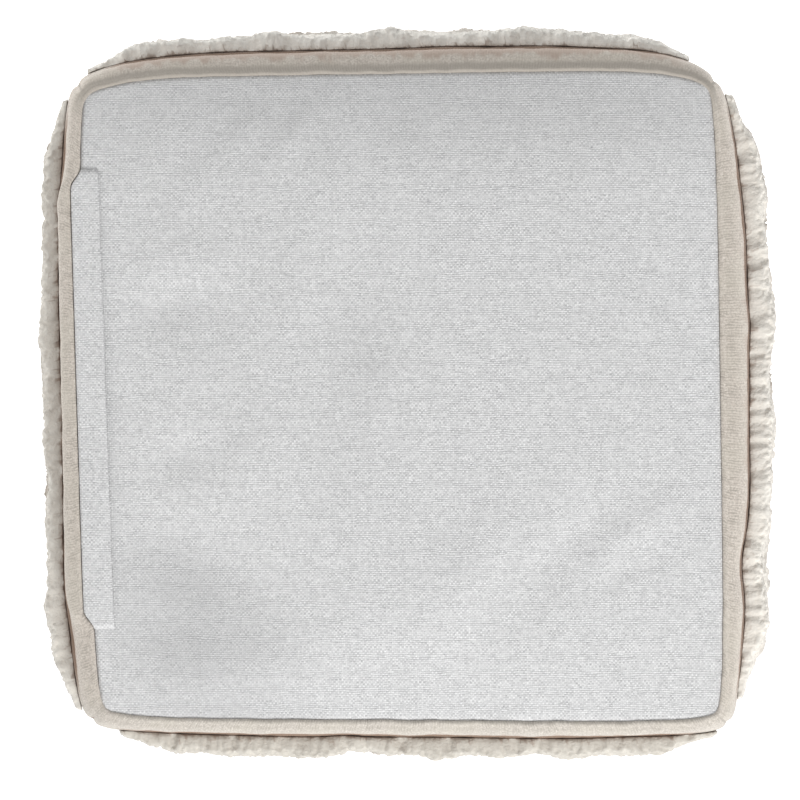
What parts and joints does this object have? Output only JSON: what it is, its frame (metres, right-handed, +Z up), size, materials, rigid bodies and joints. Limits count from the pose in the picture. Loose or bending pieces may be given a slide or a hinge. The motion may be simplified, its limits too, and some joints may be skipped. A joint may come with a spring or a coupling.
{
  "type": "cube pouf stool",
  "caption": "Filled cube pouf with a canvas base panel, a long zip flap, ribbed cloth margins and tufted pile on its walls and top, lying on its top with its base up.",
  "frame": {"origin": "on the floor, under the middle of the pouf's outline, as it lies on its top", "axes": "+Z up through the base panel, which faces up; -X is the side with the zip flap; in use the pouf is turned over, half a turn about X, and stands on its base panel"},
  "size_m": [0.5292, 0.5252, 0.4396],
  "materials": {
    "canvas": "plain-weave cotton canvas, matt, pale grey-white",
    "wall_cloth": "ribbed cotton cloth, matt, ivory",
    "pile": "tufted cotton yarn pile, matt, ivory"
  },
  "bodies": {
    "root": {"body": "wall_cloth", "base_panel": "canvas", "zip_flap": "canvas", "pile_front": "pile", "pile_right": "pile", "pile_back": "pile", "pile_left": "pile", "pile_top": "pile"}
  },
  "joints": []
}
